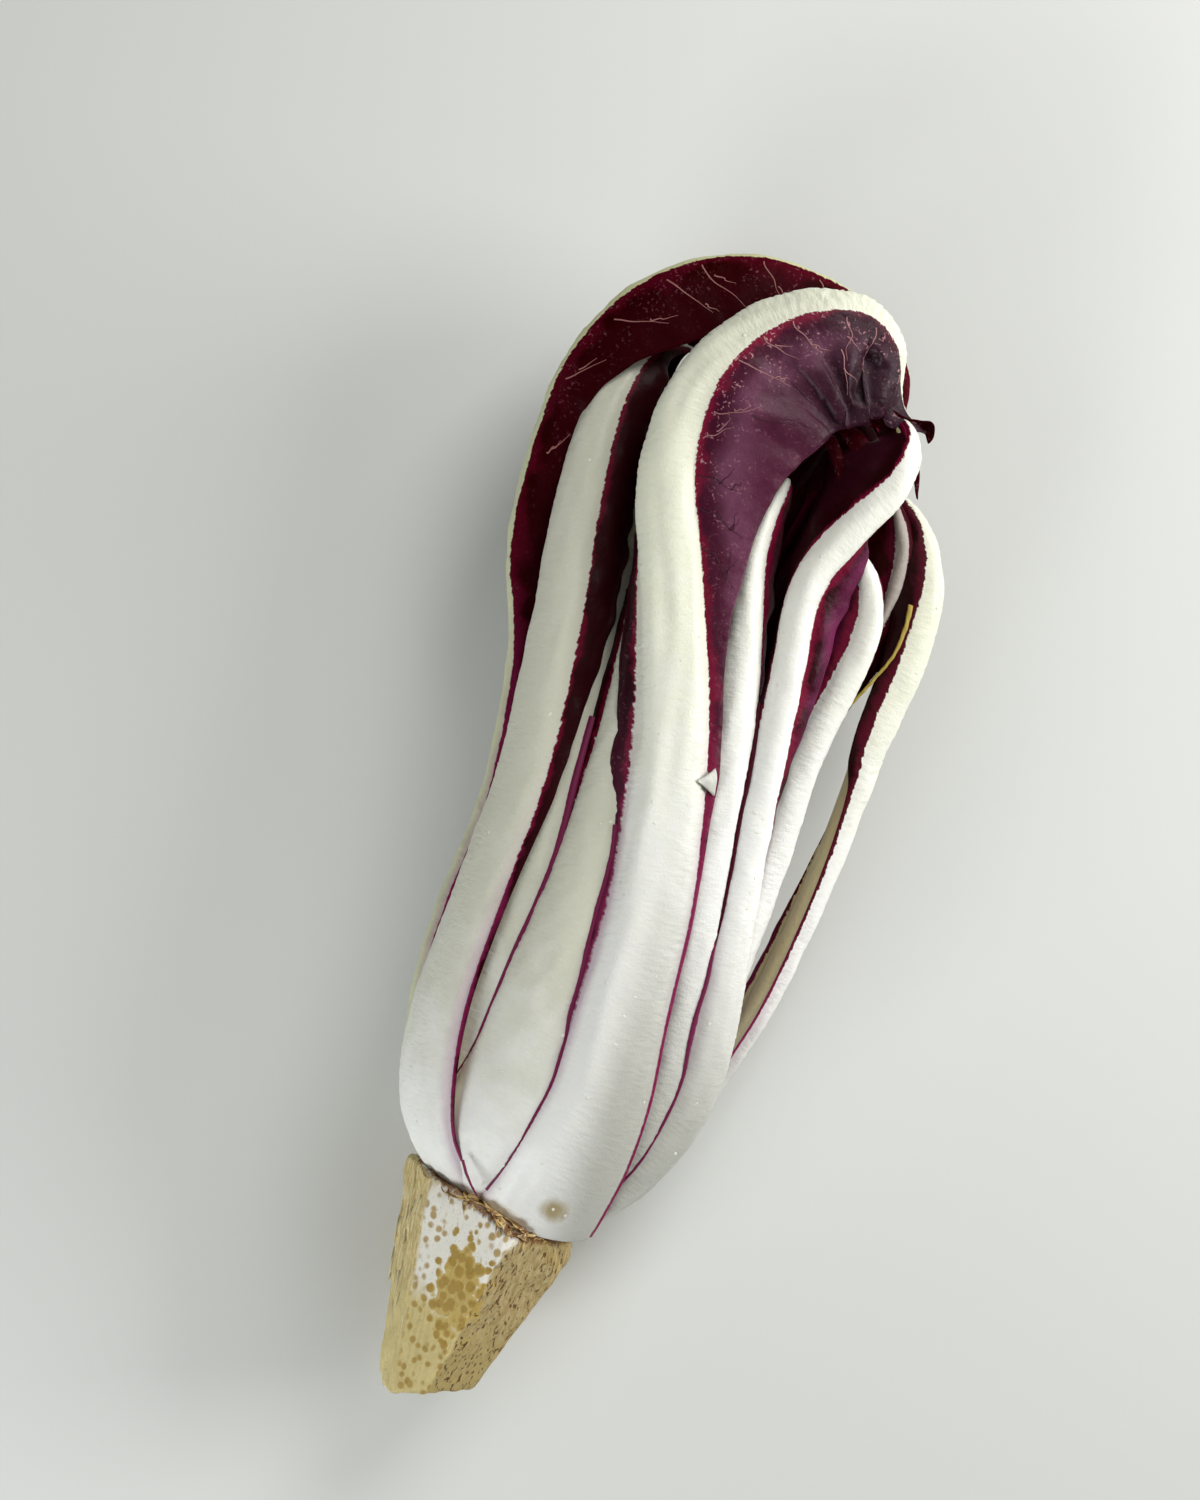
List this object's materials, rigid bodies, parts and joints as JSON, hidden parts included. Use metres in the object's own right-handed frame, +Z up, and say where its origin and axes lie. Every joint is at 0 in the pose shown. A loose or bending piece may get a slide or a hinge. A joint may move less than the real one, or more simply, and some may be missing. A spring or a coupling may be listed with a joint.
{
  "type": "radicchio head",
  "caption": "Slender head of late red radicchio lying on its side: thick white ribs with narrow dark red blades curling into hoods, over a short knife-trimmed root.",
  "frame": {"origin": "the surface that the head lies on, under the middle of its bounding box", "axes": "+Y from the root towards the leaf tips, +Z up, +X to the right seen from above with the tips pointing away"},
  "size_m": [0.0889, 0.2389, 0.0521],
  "materials": {
    "leaf": "satin",
    "red_leaf": "satin",
    "root": "matte"
  },
  "bodies": {
    "root": {"root": "root", "front_leaf": "leaf", "left_leaf": "leaf", "upper_left_leaf": "leaf", "outer_left_leaf": "red_leaf", "right_leaf": "leaf", "outer_right_leaf": "leaf", "centre_right_leaf": "leaf", "right_inner_leaf": "leaf", "left_inner_leaf": "leaf", "right_heart_leaf": "red_leaf", "lower_left_leaf": "leaf", "under_left_leaf": "leaf", "under_right_leaf": "leaf", "lower_right_leaf": "leaf", "top_heart_leaf": "red_leaf", "left_heart_leaf": "red_leaf", "low_heart_leaf": "red_leaf"}
  },
  "joints": []
}
